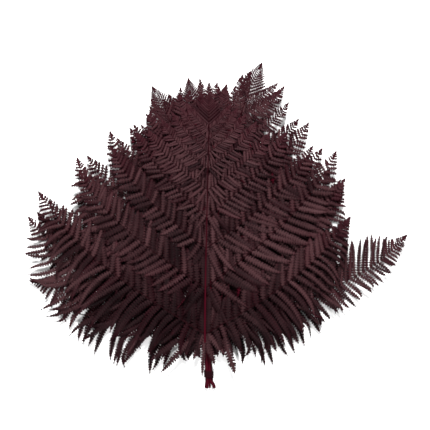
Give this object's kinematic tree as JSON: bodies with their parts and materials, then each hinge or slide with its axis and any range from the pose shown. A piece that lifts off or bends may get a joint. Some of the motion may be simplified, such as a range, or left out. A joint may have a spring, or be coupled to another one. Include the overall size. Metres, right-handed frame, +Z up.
{
  "type": "bracken frond",
  "caption": "Flat bunch of preserved dark red bracken fronds, triangular and finely divided, stacked and tied at the stalks, lying flat.",
  "frame": {"origin": "on the ground, at the middle of the flat underside of the lowest frond's main rib", "axes": "+Z up out of the lying leaves, +Y along the main ribs towards the frond tips, +X to the right across the leaves as seen from above"},
  "size_m": [0.5317, 0.4564, 0.0245],
  "materials": {
    "leaflets": "preserved bracken leaf, dyed dark burgundy brown, matt with a faint waxy sheen",
    "stalks": "preserved bracken stalk, dyed deep wine red, smooth, finely ribbed along its length",
    "tie": "wound elastic band, dyed with the stalks, matt"
  },
  "bodies": {
    "root": {"frond_1": "leaflets", "frond_2": "leaflets", "frond_3": "leaflets", "frond_4": "leaflets", "frond_5": "leaflets", "tie": "tie"}
  },
  "joints": []
}
